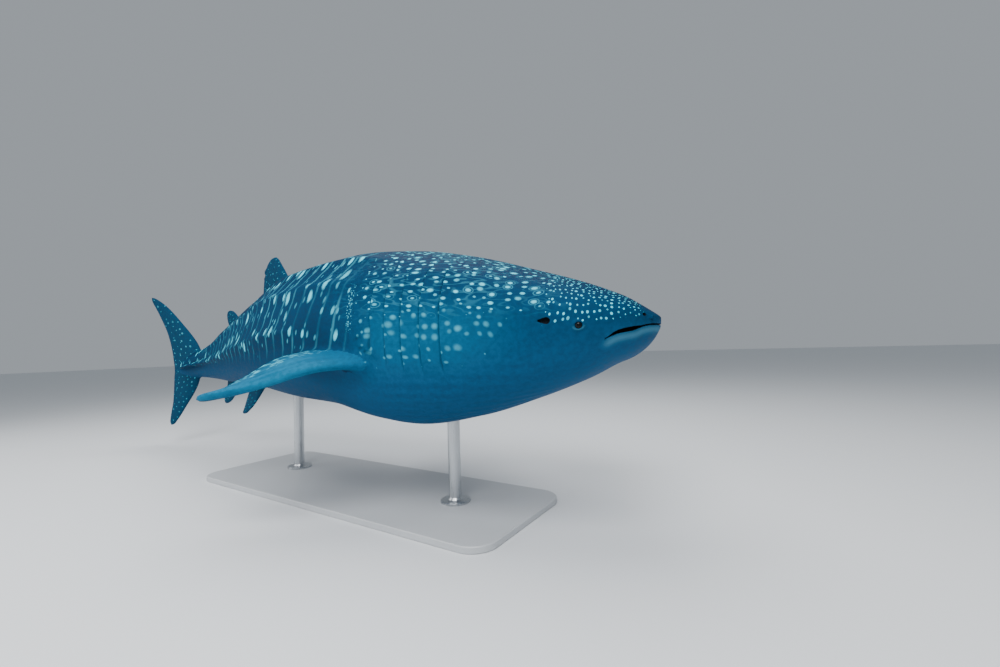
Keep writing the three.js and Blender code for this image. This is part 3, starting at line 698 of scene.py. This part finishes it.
def cut_openings(skin, opening_shade):
    """Cuts the mouth, eye sockets, spiracles and nostrils into the skin and softens their rims. The cut
    faces take the near black painted shade of the openings.
    """
    cutters = [mouth_cutter()]
    socket = EYE[2] * LENGTH + SOCKET_GAP
    turn = float(heading(0))
    for side in (1, -1):
        breath = body_at(SPIRACLE[0], side * SPIRACLE[1])
        nose = body_at(NOSTRIL[0], side * NOSTRIL[1])
        cutters.append(ball_cutter(f"socket_{side}", eye_centre(side), (socket, socket, socket)))
        cutters.append(ball_cutter(f"spiracle_{side}", breath, SPIRACLE_RADII, turn, SPIRACLE_TAIL))
        cutters.append(ball_cutter(f"nostril_{side}", nose, NOSTRIL_RADII, turn))
    for obj in cutters:
        paint(obj, opening_shade)
    tool = joined(cutters, "openings")
    known = {*corner_keys(skin), *corner_keys(tool)}
    cut_or_grow(skin, tool, "DIFFERENCE")
    soften_joins(skin, known, RIM_SOFTENING, "Rims")
    clear_loose_flaps(skin)


def make_eyeball(word, side):
    """A ball whose UV map grows from the pupil's middle outwards, turned to look away from the skin."""
    radius = EYE[2] * LENGTH
    clear_selection()
    bpy.ops.mesh.primitive_uv_sphere_add(segments=48, ring_count=32, radius=radius, location=(0, 0, 0))
    eye = bpy.context.object
    eye.name = eye.data.name = f"eyeball_{word}"
    mesh = eye.data
    away = np.arccos(np.clip(corner_points(mesh)[:, 2] / radius, -1, 1)) / (math.pi / 2)
    set_maps(mesh, {"Eye": np.stack([away, np.zeros_like(away)], axis=-1)[face_corners(mesh)]})
    turn = Vector((0, 0, 1)).rotation_difference(Vector(outward(EYE[0], side * EYE[1])))
    mesh.transform(Matrix.Translation(Vector(eye_centre(side))) @ turn.to_matrix().to_4x4())
    return eye


# Materials

class Value:
    """A node's output. Sums, products and ramps of it add the nodes that work them out."""

    def __init__(self, tree, socket):
        self.tree, self.socket = tree, socket

    def maths(self, operation, other=0.0):
        return node(self.tree, "Math", {0: self, 1: other}, operation=operation)[0]

    __add__ = partialmethod(maths, "ADD")
    __sub__ = partialmethod(maths, "SUBTRACT")
    __mul__ = partialmethod(maths, "MULTIPLY")
    __truediv__ = partialmethod(maths, "DIVIDE")
    __lt__ = partialmethod(maths, "LESS_THAN")
    __gt__ = partialmethod(maths, "GREATER_THAN")
    most = partialmethod(maths, "MAXIMUM")
    fraction = partialmethod(maths, "FRACT")

    def __rsub__(self, other):
        return node(self.tree, "Math", {0: other, 1: self}, operation="SUBTRACT")[0]

    def off(self, middle):
        """How far the value is from middle, on either side."""
        return (self - middle).maths("ABSOLUTE")

    def ramp(self, low, high, to_low=0.0, to_high=1.0):
        return node(self.tree, "MapRange", {0: self, 1: low, 2: high, 3: to_low, 4: to_high},
                    interpolation_type="SMOOTHSTEP")[0]

    def window(self, start, full, full_end, end):
        """1 between full and full_end, fading out to start and end."""
        return self.ramp(start, full) * self.ramp(end, full_end)


def feed(tree, made, values):
    """Gives a node's inputs their values: plain ones, colours of three values or other nodes' outputs."""
    for key, value in values.items():
        socket = made.inputs[key]
        if isinstance(value, Value):
            tree.links.new(value.socket, socket)
        else:
            socket.default_value = (*value, 1.0) if socket.type == "RGBA" else value


def node(tree, kind, values, **settings):
    """Adds a node and gives its outputs, by number and by name."""
    made = tree.nodes.new("ShaderNode" + kind)
    for key, value in settings.items():
        setattr(made, key, value)
    feed(tree, made, values)
    outputs = [Value(tree, socket) for socket in made.outputs]
    return {**dict(enumerate(outputs)), **{out.socket.name: out for out in outputs}}


def mixed(tree, amount, a, b):
    return node(tree, "Mix", {0: amount, 6: a, 7: b}, data_type="RGBA")[2]


def noise(tree, vector, scale, detail, roughness=0.5, output=0):
    return node(tree, "TexNoise", {"Vector": vector, "Scale": scale, "Detail": detail,
                                   "Roughness": roughness})[output]


def scaled(tree, vector, x, y, z=1.0, shift=(0.0, 0.0, 0.0)):
    return node(tree, "Mapping", {0: vector, "Scale": (x, y, z), "Location": shift})[0]


def object_place(tree):
    return node(tree, "TexCoord", {})["Object"]


def uv_map(tree, name):
    return node(tree, "UVMap", {}, uv_map=name)[0]


def split(tree, vector):
    """The first two values of a vector."""
    parts = node(tree, "SeparateXYZ", {0: vector})
    return parts[0], parts[1]


def bump(tree, height, strength, distance):
    return node(tree, "Bump", {"Height": height, "Strength": strength, "Distance": distance})[0]


def new_material(name, surface, *settings):
    """A material whose shader has the inputs that surface(tree, *settings) gives."""
    material = bpy.data.materials.get(name) or bpy.data.materials.new(name)
    material.use_nodes = True
    tree = material.node_tree
    tree.nodes.clear()
    out = tree.nodes.new("ShaderNodeOutputMaterial")
    shader = tree.nodes.new("ShaderNodeBsdfPrincipled")
    tree.links.new(shader.outputs[0], out.inputs[0])
    feed(tree, shader, surface(tree, *settings))
    return material


def spots_group():
    """Cells that each hold a pale spot of its own size, smaller where Amount falls, and some a ring."""
    if "Skin spots" in bpy.data.node_groups:
        return bpy.data.node_groups["Skin spots"]
    group = bpy.data.node_groups.new("Skin spots", "ShaderNodeTree")
    group.interface.new_socket("Vector", in_out="INPUT", socket_type="NodeSocketVector")
    for name in ("Scale", "Radius", "Irregularity", "Amount", "Softness"):
        group.interface.new_socket(name, in_out="INPUT", socket_type="NodeSocketFloat")
    for name in ("Mask", "Ring"):
        group.interface.new_socket(name, in_out="OUTPUT", socket_type="NodeSocketFloat")
    into = {socket.name: Value(group, socket) for socket in group.nodes.new("NodeGroupInput").outputs}
    cells = node(group, "TexVoronoi", {"Vector": into["Vector"], "Scale": into["Scale"],
                                       "Randomness": into["Irregularity"]}, voronoi_dimensions="2D")
    chance = node(group, "SeparateColor", {0: cells["Color"]})
    size = into["Radius"] * chance[0].ramp(0.0, 1.0, 0.62, 1.2) * into["Amount"]
    gap = cells["Distance"] / size.most(0.001)
    spot = gap.ramp(into["Softness"] + 1.0, 1.0 - into["Softness"])
    bright = chance[1].ramp(0.0, 1.0, 0.55, 1.0)
    ring = cells["Distance"].off(0.37).ramp(0.07, 0.01) * chance[2].ramp(0.8, 0.86) * into["Amount"]
    feed(group, group.nodes.new("NodeGroupOutput"),
         {"Mask": spot * bright * size.ramp(0.03, 0.07), "Ring": ring})
    return group


def spots(tree, vector, radius, irregularity, amount, softness, scale=1.0):
    return node(tree, "Group", {"Vector": vector, "Scale": scale, "Radius": radius, "Amount": amount,
                                "Irregularity": irregularity, "Softness": softness}, node_tree=spots_group())


def skin_inputs(tree):
    """What the skin's colours and relief are worked out from: UV maps, noises and masks of its parts."""
    station, angle = split(tree, uv_map(tree, "Place"))
    crease, pale = split(tree, uv_map(tree, "Crease"))
    at = object_place(tree)
    cloud = noise(tree, at, 1.3, 4.0, 0.55)
    on_body, on_pectoral = station < FIN_MARK - 0.5, station > PECTORAL_TOP - 0.5
    return SimpleNamespace(
        station=station, angle=angle, crease=crease, pale=pale, at=at, cloud=cloud,
        fine=noise(tree, at, 26.0, 5.0, 0.6),
        flank=uv_map(tree, "Flank"), on_body=on_body, on_pectoral=on_pectoral,
        under_pectoral=station > PECTORAL_UNDER - 0.5,
        on_fin=1.0 - on_body - on_pectoral,
        chord=station.fraction(),
        low=angle + (cloud - 0.5) * 0.09,
    )


def pectoral_base(tree, look, skin):
    """Pale at the root, then streaked lengthwise."""
    root = mixed(tree, 0.5, look.gill_colour, look.shaded_belly_colour)
    streaks = noise(tree, scaled(tree, skin.flank, 16.0, 1.6), 1.0, 2.0).ramp(0.4, 0.7, 0.0, 0.5)
    blade = mixed(tree, streaks, look.pectoral_colour, look.flank_colour)
    return mixed(tree, skin.angle.ramp(0.16, 0.5), root, blade)


def skin_base(tree, look, skin):
    """The dark back, the lighter gill side, the dark flank, the belly and the fins. The belly is pale in
    life but is darkened here as painted shade, and the pectorals' undersides are painted dark as shade.
    """
    station, low = skin.station, skin.low
    dark = look.back_colour
    base = mixed(tree, low.ramp(0.12, 0.5), dark, look.flank_colour)
    gill_side = station.window(0.08, 0.16, 0.2, 0.25) * low.ramp(0.36, 0.52) * 0.65
    base = mixed(tree, gill_side, base, look.gill_colour)
    behind = station.ramp(0.235, 0.3)
    base = mixed(tree, behind * low.ramp(0.3, 0.5) * 0.55, base, dark)
    # The belly colour: pale, but darkened as painted shade under the body.
    shaded_belly = low.ramp(0.5, 0.68) * behind.ramp(0.0, 1.0, 1.0, 0.55)
    base = mixed(tree, shaded_belly, base, look.shaded_belly_colour)
    base = mixed(tree, skin.on_body, look.fin_colour, base)
    base = mixed(tree, skin.on_pectoral, base, pectoral_base(tree, look, skin))
    # Painted shade: each pectoral's underside turns dark from just behind its front edge. The rear half of
    # each pectoral also darkens towards its rear edge.
    underside = skin.under_pectoral * skin.chord.ramp(0.02, 0.2)
    rear_half = skin.on_pectoral * skin.chord.ramp(0.5, 1.0, 0.0, 0.5)
    return node(tree, "HueSaturation", {"Value": skin.fine.ramp(0.25, 0.75, 0.84, 1.14),
                                        "Color": mixed(tree, underside.most(rear_half), base, dark)})[0]


def skin_marks(tree, look, skin):
    """How strongly each place is marked: by spots of several kinds, leaning bars and faint lines."""
    flank, station, low, on_body = skin.flank, skin.station, skin.low, skin.on_body

    # where each kind of spot grows
    snout = station.ramp(0.088, 0.07) * low.ramp(0.528, 0.505) * station.ramp(0.008, 0.018) * on_body
    cheek = station.window(0.066, 0.085, 0.225, 0.245) * low.ramp(0.48, 0.42) * on_body
    gills = station.window(0.1, 0.12, 0.228, 0.24) * on_body * low.window(0.42, 0.47, 0.54, 0.62)
    trunk = station.ramp(0.24, 0.262) * on_body * low.ramp(0.59, 0.48)
    specks = station.window(0.24, 0.2425, 0.2465, 0.25) * low.window(0.32, 0.36, 0.48, 0.51)
    trailing = skin.on_pectoral * skin.chord.ramp(0.45, 0.6) * (1.0 - skin.under_pectoral)

    # fine spots on the snout, lengthwise on the cheek, soft at the gills and upright on the flank
    swirl = noise(tree, skin.at, 2.2, 1.0, output=1)
    bent = node(tree, "VectorMath", {0: swirl, 1: (0.12, 0.12, 0.0)}, operation="MULTIPLY")[0]
    loose = node(tree, "VectorMath", {0: flank, 1: bent}, operation="ADD")[0]
    lengthwise, upwards = split(tree, flank)
    columns = (lengthwise - upwards * 0.28) * 5.2
    leaning = node(tree, "CombineXYZ", {0: columns, 1: upwards * 2.7})[0]
    between = scaled(tree, leaning, 1.6, 1.5, shift=(0.4, 0.7, 0.0))
    by_gills = scaled(tree, loose, 9.5, 10.5, shift=(3.7, 1.9, 0.0))
    on_edge = scaled(tree, flank, 24.0, 10.0)
    cheek_spots = spots(tree, scaled(tree, loose, 9.5, 15.0), look.cheek_spot, 0.72, cheek, 0.5)
    layers = [
        spots(tree, loose, look.snout_spot, 0.62, snout, 0.35, scale=21.5)["Mask"],
        cheek_spots["Mask"],
        cheek_spots["Ring"] * 0.2,
        spots(tree, by_gills, look.gill_spot, 0.85, gills, 0.7)["Mask"] * 0.42,
        spots(tree, leaning, look.flank_spot, 0.7, trunk, 0.45)["Mask"],
        spots(tree, between, 0.11, 0.9, trunk, 0.5)["Mask"] * 0.4,
        spots(tree, flank, look.fin_spot, 0.9, skin.on_fin, 0.3, scale=7.5)["Mask"] * 0.32,
        spots(tree, flank, 0.24, 0.9, specks, 0.45, scale=42.0)["Mask"] * 0.7,
        spots(tree, on_edge, 0.27, 0.9, trailing, 0.4)["Mask"] * 0.75,
    ]

    # thin leaning bars along the flank, and faint wandering lines between the spots of the back and cheek
    wavy_columns = (columns + (skin.cloud - 0.5) * 0.7).fraction()
    broken = noise(tree, skin.at, 2.6, 2.0)
    marks = (wavy_columns.off(0.5).ramp(0.36, 0.5) * trunk * broken.ramp(0.36, 0.62, 0.04, 0.24)
             * station.ramp(0.76, 0.56))
    contours = (noise(tree, scaled(tree, flank, 4.0, 13.0), 1.0, 1.0) * 5.0).fraction()
    on_cheek = station.window(0.055, 0.085, 0.2, 0.3) * low.ramp(0.52, 0.4) * on_body
    layers.append(contours.off(0.5).ramp(0.22, 0.02) * on_cheek * broken.ramp(0.35, 0.62, 0.04, 0.11))
    for layer in layers:
        marks = marks.most(layer)
    return marks * skin.fine.ramp(0.2, 0.6, 0.78, 1.0)


def skin_relief(tree, skin):
    """Fine grain, soft waves and faint folds on the throat."""
    folds = node(tree, "TexWave", {"Vector": scaled(tree, skin.flank, 0.22, 3.0), "Scale": 1.0,
                                   "Distortion": 1.6, "Detail": 1.0}, bands_direction="Y")[1]
    throat = skin.station.window(0.07, 0.13, 0.2, 0.25) * skin.angle.ramp(0.58, 0.66) * skin.on_body
    return bump(tree, skin.fine * 0.1 + skin.cloud * 0.25 + folds * throat * 0.5, 0.35, 0.03)


def skin_surface(tree, look):
    skin = skin_inputs(tree)
    colour = mixed(tree, skin_marks(tree, look, skin), skin_base(tree, look, skin), look.spot_colour)
    colour = mixed(tree, skin.pale * 0.42, colour, look.lip_colour)
    # Painted shade: the grooves behind the gill slits and the fold before the pectoral fin are darkened.
    colour = mixed(tree, skin.crease * 0.5, colour, (0.003, 0.01, 0.018))
    return {"Base Color": colour, "Roughness": skin.fine.ramp(0.2, 0.8, 0.5, 0.7), "IOR": 1.15,
            "Specular IOR Level": 0.3, "Normal": skin_relief(tree, skin)}


# Near black painted shade inside the mouth, eye sockets, spiracles and nostrils.
def opening_shade_surface(tree):
    fine = noise(tree, object_place(tree), 18.0, 4.0)
    colour = mixed(tree, fine, (0.002, 0.004, 0.007), (0.006, 0.01, 0.016))
    return {"Base Color": colour, "Roughness": 0.8, "Specular IOR Level": 0.1}


def eye_surface(tree):
    """A black pupil, a dark iris and a slightly paler rim."""
    away = split(tree, uv_map(tree, "Eye"))[0]
    rays = noise(tree, object_place(tree), 160.0, 3.0)
    iris = mixed(tree, rays, (0.002, 0.004, 0.006), (0.006, 0.011, 0.015))
    colour = mixed(tree, away.ramp(0.36, 0.4), (0.002, 0.003, 0.004), iris)
    colour = mixed(tree, away.ramp(0.72, 0.86), colour, (0.01, 0.015, 0.02))
    return {"Base Color": colour, "Roughness": 0.1, "Specular IOR Level": 0.14}


def steel_surface(tree):
    brushed = noise(tree, scaled(tree, object_place(tree), 60.0, 60.0, 1.5), 3.0, 4.0)
    shade = mixed(tree, brushed, (0.42, 0.44, 0.46), (0.6, 0.62, 0.64))
    return {"Base Color": shade, "Roughness": brushed.ramp(0.2, 0.8, 0.24, 0.42), "Metallic": 1.0}


def base_surface(tree, look):
    at = object_place(tree)
    broad = noise(tree, at, 1.7, 3.0)
    dark = tuple(c * 0.9 for c in look.base_colour)
    return {"Base Color": mixed(tree, broad, dark, look.base_colour),
            "Roughness": broad.ramp(0.2, 0.8, 0.42, 0.55),
            "Normal": bump(tree, noise(tree, at, 220.0, 3.0), 0.12, 0.002)}


def floor_surface(tree):
    return {"Base Color": (0.72, 0.74, 0.76), "Roughness": 0.7}


# Settings and operators

def colour_property(name, where, default):
    return bpy.props.FloatVectorProperty(name=name, description=f"Colour of {where}", default=default,
                                         size=3, min=0, max=1, subtype="COLOR")


def spot_property(where, default):
    return bpy.props.FloatProperty(name=f"{where} spots", default=default, min=0.05, max=0.6,
                                   subtype="FACTOR", description=f"Size of the {where} spots, in cells")


class WhaleSharkLook(bpy.types.PropertyGroup):
    back_colour: colour_property("Back", "the back between its spots", (0.001, 0.021, 0.058))
    flank_colour: colour_property("Flank", "the flanks between their spots", (0.001, 0.045, 0.11))
    gill_colour: colour_property("Gill side", "the skin beside the gills", (0.004, 0.12, 0.235))
    # The belly is pale in life; this colour is darkened as painted shade under the body.
    shaded_belly_colour: colour_property("Belly", "the underside", (0.006, 0.07, 0.165))
    pectoral_colour: colour_property("Pectorals", "the pectorals' upper side", (0.006, 0.135, 0.25))
    fin_colour: colour_property("Fins", "the other fins", (0.004, 0.042, 0.09))
    lip_colour: colour_property("Lips and lids", "the lower lip and eyelids", (0.1, 0.33, 0.45))
    spot_colour: colour_property("Spots", "the spots and bars", (0.12, 0.76, 0.93))
    base_colour: colour_property("Base", "the stand's base", (0.5, 0.52, 0.54))
    snout_spot: spot_property("Snout", 0.185)
    cheek_spot: spot_property("Cheek", 0.175)
    gill_spot: spot_property("Gill", 0.18)
    flank_spot: spot_property("Flank", 0.14)
    fin_spot: spot_property("Fin", 0.13)


class WhaleSharkStudio(bpy.types.PropertyGroup):
    lens: bpy.props.FloatProperty(name="Lens", description="Focal length of the camera", default=15.84,
                                  min=8, max=100, unit="CAMERA")
    light: bpy.props.FloatProperty(name="Light", description="Strength of the lamps", default=1.0,
                                   min=0, max=5, subtype="FACTOR")


FLESH = ["head", "lower_jaw", "gills", "trunk_front", "trunk_middle", "trunk_rear", "tail_stalk",
         "dorsal_fin_first", "dorsal_fin_second", "anal_fin", "caudal_fin_upper", "caudal_fin_lower",
         "pectoral_fin_right", "pectoral_fin_left", "pelvic_fin_right", "pelvic_fin_left"]


class WHALESHARK_OT_skin(bpy.types.Operator):
    """Builds the one skin of the animal, with its fins, mouth, eye sockets, spiracles and nostrils"""
    bl_idname = "whaleshark.skin"
    bl_label = "Build skin"

    def execute(self, context):
        skin = make_body()
        grow_fins(skin, new_material("Spotted skin", skin_surface, context.scene.whale_shark_look))
        cut_openings(skin, new_material("Painted shade in openings", opening_shade_surface))
        make_active(skin)
        bpy.ops.object.shade_smooth()
        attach(skin, "root")
        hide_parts(*FLESH)
        return {"FINISHED"}


class WHALESHARK_OT_eyes(bpy.types.Operator):
    """Builds both eyes, each a ball with a pupil and an iris"""
    bl_idname = "whaleshark.eyes"
    bl_label = "Build eyes"

    def execute(self, context):
        material = new_material("Eye", eye_surface)
        for word, side in (("right", 1), ("left", -1)):
            eye = make_eyeball(word, side)
            paint(eye, material)
            make_active(eye)
            bpy.ops.object.shade_smooth()
            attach(eye, "root")
            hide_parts(f"eye_{word}")
        return {"FINISHED"}


class WHALESHARK_OT_stand(bpy.types.Operator):
    """Gives the stand's base its paint and its rods their brushed steel"""
    bl_idname = "whaleshark.stand"
    bl_label = "Finish stand"

    def execute(self, context):
        coat = new_material("Painted base", base_surface, context.scene.whale_shark_look)
        steel = new_material("Brushed steel rod", steel_surface)
        for name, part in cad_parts.items():
            if name.startswith("stand_"):
                paint(part, coat if name == "stand_base" else steel)
        return {"FINISHED"}


FLOOR_SIZE = 160  # metres
LAMPS = [  # name, place, size in metres, watts
    ("key", (4.5, -7.0, 10.0), 7.0, 1700),
    ("fill", (-8.0, -7.0, 4.5), 8.0, 450),
    ("top", (-1.0, 1.5, 11.0), 9.0, 1000),
]
SKY_COLOUR, SKY_STRENGTH = (0.8, 0.87, 0.94), 0.42
SNOUT = Vector(place(0.0, 0.0, 0.0))
CAMERA_OFFSET = (0.834, -3.861, -0.2)  # from the snout, metres
CAMERA_TURN = (-0.565, 0.03, -0.03)  # yaw, pitch and roll, radians


def add_floor():
    clear_selection()
    bpy.ops.mesh.primitive_plane_add(size=FLOOR_SIZE, location=(0, 0, 0))
    floor = bpy.context.object
    floor.name = "studio_floor"
    paint(floor, new_material("Studio floor", floor_surface))


def add_lights(scene, strength):
    for name, spot, size, watts in LAMPS:
        bpy.ops.object.light_add(type="AREA", location=spot)
        lamp = bpy.context.object
        lamp.name = name
        lamp.data.size = size
        lamp.data.energy = watts * strength
        aim = Vector((0.0, 0.0, SPINE_HEIGHT)) - Vector(spot)
        lamp.rotation_euler = aim.to_track_quat("-Z", "Y").to_euler()
    scene.world = scene.world or bpy.data.worlds.new("Studio")
    scene.world.use_nodes = True
    sky = scene.world.node_tree.nodes["Background"].inputs
    sky[0].default_value = (*SKY_COLOUR, 1.0)
    sky[1].default_value = SKY_STRENGTH


def add_camera(scene, lens):
    bpy.ops.object.camera_add(location=SNOUT + Vector(CAMERA_OFFSET))
    camera = bpy.context.object
    camera.name = "camera"
    camera.data.sensor_width = 36
    camera.data.lens = lens
    yaw, pitch, roll = CAMERA_TURN
    ahead = Vector((math.sin(yaw) * math.cos(pitch), math.cos(yaw) * math.cos(pitch), math.sin(pitch)))
    turn = ahead.to_track_quat("-Z", "Y").to_matrix() @ Matrix.Rotation(roll, 3, "Z")
    camera.rotation_euler = turn.to_euler()
    scene.camera = camera


class WHALESHARK_OT_studio(bpy.types.Operator):
    """Sets up the pale floor, the soft lights and the camera"""
    bl_idname = "whaleshark.studio"
    bl_label = "Set up studio"

    def execute(self, context):
        studio = context.scene.whale_shark_studio
        add_floor()
        add_lights(context.scene, studio.light)
        add_camera(context.scene, studio.lens)
        return {"FINISHED"}


class WHALESHARK_PT_panel(bpy.types.Panel):
    """Lists the model's steps and its colours"""
    bl_idname = "WHALESHARK_PT_panel"
    bl_label = "Whale shark"
    bl_space_type = "VIEW_3D"
    bl_region_type = "UI"
    bl_category = "Whale shark"

    def draw(self, context):
        for name in ("skin", "eyes", "stand", "studio"):
            self.layout.operator(f"whaleshark.{name}")
        for settings in (context.scene.whale_shark_look, context.scene.whale_shark_studio):
            for key in settings.__annotations__:
                self.layout.prop(settings, key)


CLASSES = (WhaleSharkLook, WhaleSharkStudio, WHALESHARK_OT_skin, WHALESHARK_OT_eyes, WHALESHARK_OT_stand,
           WHALESHARK_OT_studio, WHALESHARK_PT_panel)


def register():
    for made in CLASSES:
        bpy.utils.register_class(made)
    bpy.types.Scene.whale_shark_look = bpy.props.PointerProperty(type=WhaleSharkLook)
    bpy.types.Scene.whale_shark_studio = bpy.props.PointerProperty(type=WhaleSharkStudio)


def unregister():
    del bpy.types.Scene.whale_shark_look
    del bpy.types.Scene.whale_shark_studio
    for made in reversed(CLASSES):
        bpy.utils.unregister_class(made)


def main():
    register()
    bpy.ops.whaleshark.skin()
    bpy.ops.whaleshark.eyes()
    bpy.ops.whaleshark.stand()
    bpy.ops.whaleshark.studio()


if __name__ == "__main__":
    main()
